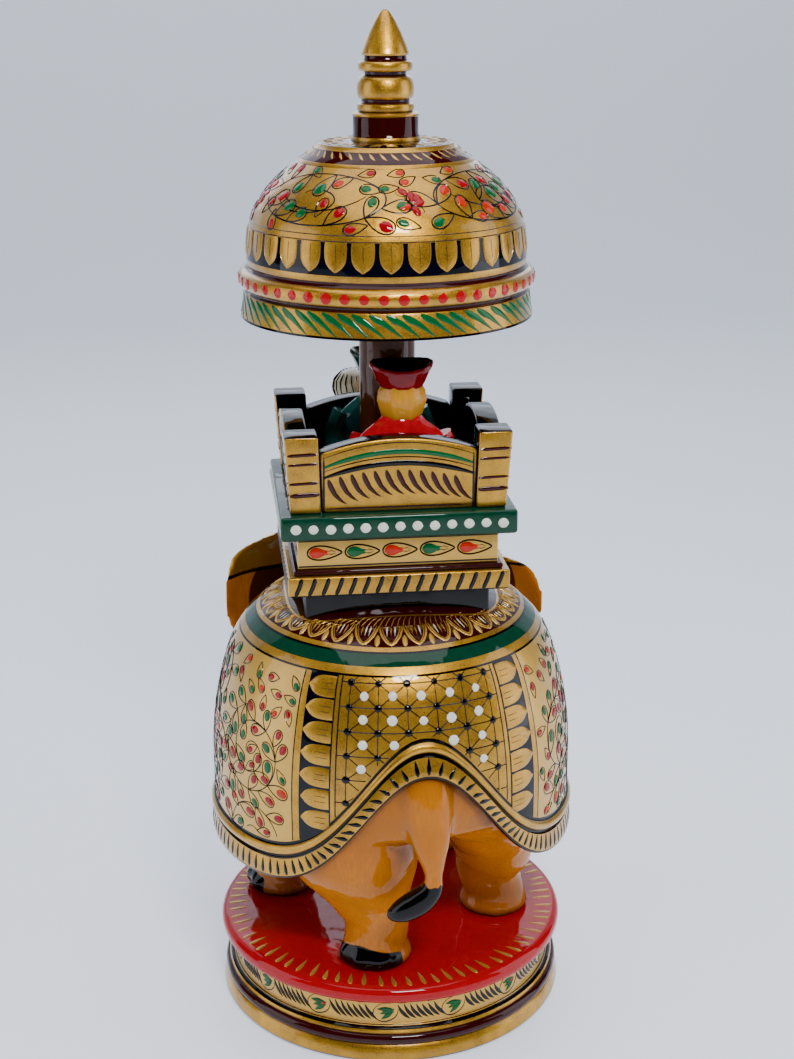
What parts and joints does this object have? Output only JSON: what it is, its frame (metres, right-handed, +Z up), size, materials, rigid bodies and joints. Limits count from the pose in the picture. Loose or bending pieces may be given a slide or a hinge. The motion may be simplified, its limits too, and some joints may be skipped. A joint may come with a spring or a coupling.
{
  "type": "painted wooden elephant figurine",
  "caption": "Painted wooden elephant on a round turned base, with a howdah, seated riders and a domed umbrella that turns and lifts out.",
  "frame": {"origin": "centre of the base's underside, on its turned axis", "axes": "+Z up along the turned axis, the elephant faces -Y, its left side is +X"},
  "size_m": [0.0842, 0.1224, 0.2249],
  "materials": {
    "gold_paint": "gloss lacquer over metallic gold paint",
    "gold_panel_paint": "gloss lacquer over metallic gold paint with hand-painted strokes",
    "red_enamel": "gloss enamel",
    "amber_lacquer": "gloss stained lacquer on carved wood",
    "cloth_paint": "gloss lacquer over gold paint with black, green and red strokes",
    "black_enamel": "gloss enamel",
    "maroon_enamel": "gloss enamel",
    "green_enamel": "gloss enamel",
    "ivory_paint": "gloss paint",
    "brown_lacquer": "gloss stained lacquer",
    "rider_red_paint": "gloss paint",
    "rider_teal_paint": "gloss paint",
    "mahout_cream_paint": "gloss paint",
    "bare_wood": "unfinished wood"
  },
  "bodies": {
    "figurine": {"base_plinth": "gold_paint", "base_disc": "red_enamel", "foot_pegs": "bare_wood", "elephant_body": "amber_lacquer", "saddle_cloth": "cloth_paint", "tusk_left": "ivory_paint", "tusk_right": "ivory_paint", "howdah_dowel": "bare_wood", "mahout": "mahout_cream_paint", "passenger_rear": "rider_red_paint", "passenger_front": "rider_teal_paint", "howdah_foot_slab": "black_enamel", "howdah_striped_moulding": "gold_panel_paint", "howdah_waist_bead": "maroon_enamel", "howdah_waist": "gold_panel_paint", "howdah_ledge": "green_enamel", "howdah_wall_rear": "gold_panel_paint", "howdah_wall_front": "gold_panel_paint", "howdah_wall_left": "gold_panel_paint", "howdah_wall_right": "gold_panel_paint", "corner_post_rear_left": "gold_paint", "corner_post_rear_right": "gold_paint", "corner_post_front_left": "gold_paint", "corner_post_front_right": "gold_paint"},
    "umbrella": {"umbrella_stem": "brown_lacquer"},
    "canopy": {"canopy_dome": "gold_panel_paint", "canopy_cap": "maroon_enamel", "finial": "gold_paint"}
  },
  "joints": [
    {"name": "umbrella_lift", "type": "slide", "parent": "figurine", "child": "umbrella", "axis": [0, 0, 1], "range_m": [0, 0.02]},
    {"name": "canopy_turn", "type": "hinge", "parent": "umbrella", "child": "canopy", "pos_m": [0, 0, 0.186], "axis": [0, 0, 1], "continuous": true}
  ]
}
